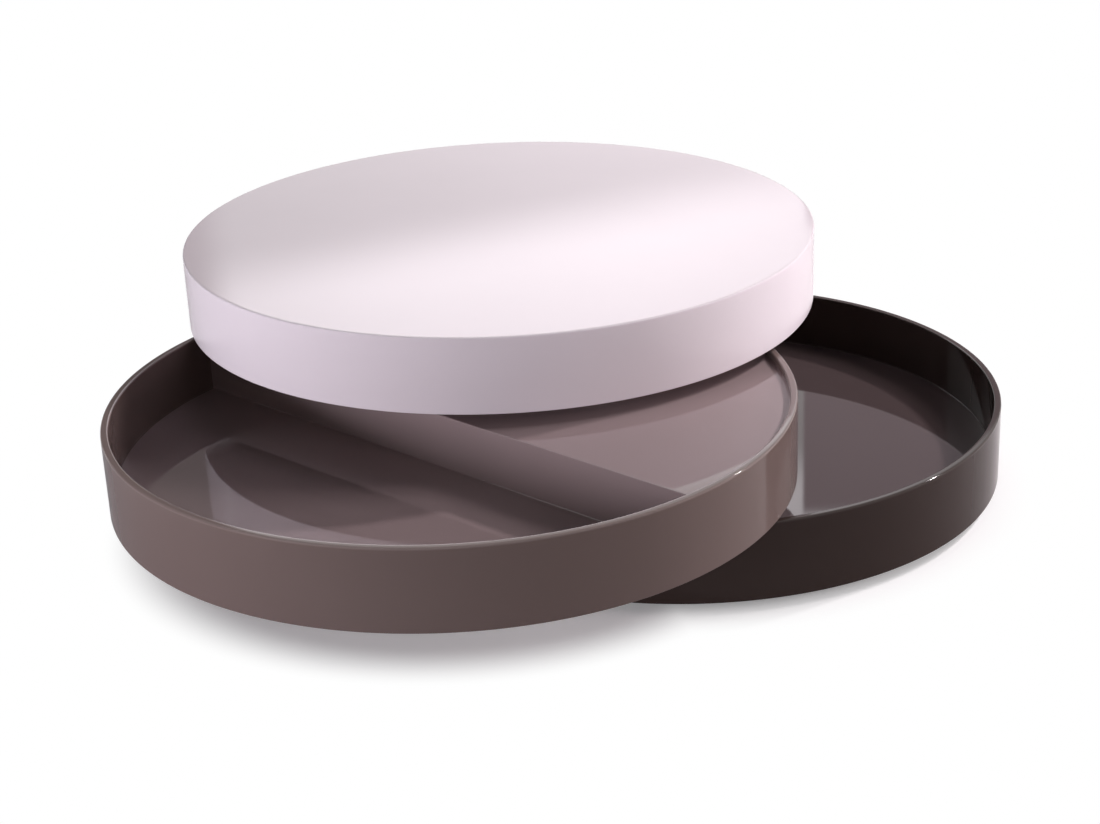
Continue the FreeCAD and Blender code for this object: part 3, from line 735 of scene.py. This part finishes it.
cards = {
    "left": {"centre": (-1.125, 1.1, 0.85), "aim": (-1.125, 0.0, 0.85), "size": (1.12, 1.1), "turn": 0,
             "level": 0.25, "feather": (0.08, 0.05), "tint": (1.0, 0.88, 0.86)},
    "aside": {"centre": (-2.3, 0.1, 0.9), "aim": (0.0, 0.1, 0.9), "size": (2.6, 1.8), "turn": 0,
              "level": 0.15, "feather": (0.03, 0.05), "tint": (1.0, 0.97, 0.98)},
    "right": {"centre": (0.809, 1.1, 0.33), "aim": (0.809, 0.0, 0.33), "size": (0.762, 0.65), "turn": 0,
              "level": 0.52, "feather": (0.012, 0.05), "tint": (1.0, 0.85, 0.92)},
}
surroundings = {"ambient": 0.084, "shown": 1.0}


def gridPlane(name, corners):
    # two by two points on a flat square, with the corners' own square as its map
    points = np.array(corners, dtype=float).reshape(1, 2, 2, 3)
    plane = gridPiece(name, points, closeRows=False, closeColumns=False)
    chart = plane.data.uv_layers.new(name="chart")
    index = np.zeros(len(plane.data.loops), dtype=np.int32)
    plane.data.loops.foreach_get("vertex_index", index)
    place = np.zeros(len(plane.data.vertices) * 3)
    plane.data.vertices.foreach_get("co", place)
    place = place.reshape(-1, 3)
    flat = points.reshape(-1, 3)
    nearest = np.argmin(((place[:, None] - flat[None]) ** 2).sum(-1), axis=1)
    square = np.array([(0, 0), (1, 0), (0, 1), (1, 1)], dtype=float)[nearest]
    chart.data.foreach_set("uv", square[index].astype(np.float32).ravel())
    return plane


def rayKinds(wire):
    # Two wires. The first is 1 for what the camera sees directly, else 0. The second is 1 for what it sees in
    # a mirror or through glass, else 0.
    direct = wire.node("ShaderNodeLightPath", out="Is Camera Ray")
    return direct, wire.maths("MAXIMUM", direct.beside("Is Glossy Ray"), direct.beside("Is Transmission Ray"))


def showSurface(wire, surface):
    wire.tree.links.new(surface.socket, wire.tree.nodes["Material Output"].inputs["Surface"])


def makeFloor():
    half = floorLook["halfSize"]
    plane = gridPlane("pale_floor", [(-half, -half, 0), (half, -half, 0), (-half, half, 0), (half, half, 0)])
    material, wire = newMaterial("paleFloor")
    where = wire.node("ShaderNodeTexCoord", out="Object")
    direct, mirrored = rayKinds(wire)

    def distance(x, y):
        away = wire.node("ShaderNodeVectorMath", {"operation": "SUBTRACT"}, {0: where, 1: (x, y, 0)})
        return wire.node("ShaderNodeVectorMath", {"operation": "LENGTH"}, {0: away}, "Value")

    baseX, baseY = discCentre("base")
    middleX, middleY = discCentre("middle")
    bed = wire.maths("MINIMUM", distance(baseX, baseY), distance(middleX, middleY + floorLook["setBack"]))
    white = direct * bed.between(*floorLook["bed"]) + mirrored * distance(0, 0).between(*floorLook["fade"])
    paint, shine, shown = [(floorLook[key],) * 3 + (1,) for key in ("paint", "mirrored", "shown")]
    colour = direct.blend(mirrored.blend(paint, shine), shown)
    lit = wire.node("ShaderNodeBsdfDiffuse", None, {"Color": colour})
    lift = wire.node("ShaderNodeEmission", None, {"Strength": direct * floorLook["lift"]})
    shadowed = wire.node("ShaderNodeAddShader", None, {0: lit, 1: lift})
    plain = wire.node("ShaderNodeEmission", None, {"Strength": surroundings["shown"]})
    ground = wire.node("ShaderNodeMixShader", None, {0: white, 1: shadowed, 2: plain})
    backside = wire.node("ShaderNodeNewGeometry", out="Backfacing")
    clear = wire.node("ShaderNodeBsdfTransparent")
    showSurface(wire, wire.node("ShaderNodeMixShader", None, {0: backside, 1: ground, 2: clear}))
    plane.data.materials.append(material)


def makePanel(name, look, lights=True):
    # a square that faces its aim, brightest in the middle and feathered to nothing at its edges
    centre, aim = np.array(look["centre"]), np.array(look["aim"])
    facing = (aim - centre) / np.linalg.norm(aim - centre)
    sideways = np.cross((0, 0, 1), facing)
    sideways = sideways / np.linalg.norm(sideways)
    upright = np.cross(facing, sideways)
    cosine, sine = heading(look["turn"])
    halfWidth, halfHeight = look["size"][0] / 2, look["size"][1] / 2
    across = halfWidth * (cosine * sideways + sine * upright)
    along = halfHeight * (cosine * upright - sine * sideways)
    plane = gridPlane(name, [centre - across - along, centre + across - along,
                             centre - across + along, centre + across + along])
    material, wire = newMaterial(name)
    chart = wire.node("ShaderNodeTexCoord", out="UV")
    column = wire.node("ShaderNodeSeparateXYZ", None, {"Vector": chart})
    row = column.beside("Y")
    wide, tall = look["feather"]
    edge = (column.between(0, wide) * (1 - column).between(0, wide)
            * row.between(0, tall) * (1 - row).between(0, tall))
    light = wire.node("ShaderNodeEmission", None, {"Color": look["tint"] + (1,), "Strength": look["level"]})
    backside = wire.node("ShaderNodeNewGeometry", out="Backfacing")
    clear = wire.node("ShaderNodeBsdfTransparent")
    showSurface(wire, wire.node("ShaderNodeMixShader", None, {0: edge * (1 - backside), 1: clear, 2: light}))
    plane.data.materials.append(material)
    if np.dot(np.array(plane.data.polygons[0].normal), facing) < 0:
        plane.data.flip_normals()
    plane.visible_camera = False
    plane.visible_shadow = False
    plane.visible_diffuse = lights
    plane.visible_glossy = look.get("mirrored", True)


def makeWorld():
    world = bpy.data.worlds.new("studio")
    bpy.context.scene.world = world
    world.use_nodes = True
    wire = Wire(world.node_tree)
    direct, mirrored = rayKinds(wire)
    seen = wire.maths("MAXIMUM", direct, mirrored)
    level = (1 - seen) * surroundings["ambient"] + seen * surroundings["shown"]
    background = wire.tree.nodes["Background"]
    background.inputs["Color"].default_value = (1, 1, 1, 1)
    feed(background, Strength=level)


makeFloor()
for name, look in panels.items():
    makePanel("panel_" + name, look)
for name, look in cards.items():
    makePanel("card_" + name, look, lights=False)
makeWorld()

# Camera, at the photograph's place
cameraLook = {
    "imageWidth": 1100,
    "focalPixels": 2096.0,
    "sensorWidth": 36.0,     # millimetres
    "place": (-0.02834, -2.40458, 1.13185),
    "downTilt": 22.788,
    "roll": -2.434,
    "clip": (0.05, 60.0),
}


def makeCamera():
    data = bpy.data.cameras.new("camera")
    data.sensor_width = cameraLook["sensorWidth"]
    data.lens = cameraLook["sensorWidth"] * cameraLook["focalPixels"] / cameraLook["imageWidth"]
    data.clip_start, data.clip_end = cameraLook["clip"]
    camera = bpy.data.objects.new("camera", data)
    bpy.context.scene.collection.objects.link(camera)
    ahead, down = heading(cameraLook["downTilt"])
    forward = np.array([0, ahead, -down])
    right = np.array([1.0, 0, 0])
    up = np.cross(right, forward)
    cosine, sine = heading(cameraLook["roll"])
    sideways, upwards = cosine * right + sine * up, cosine * up - sine * right
    pose = np.eye(4)
    pose[:3, :3] = np.stack([sideways, upwards, -forward], axis=1)
    pose[:3, 3] = cameraLook["place"]
    camera.matrix_world = Matrix(pose.tolist())
    bpy.context.scene.camera = camera


makeCamera()
bpy.context.scene.view_settings.view_transform = "Standard"
print("stage, light and camera made")
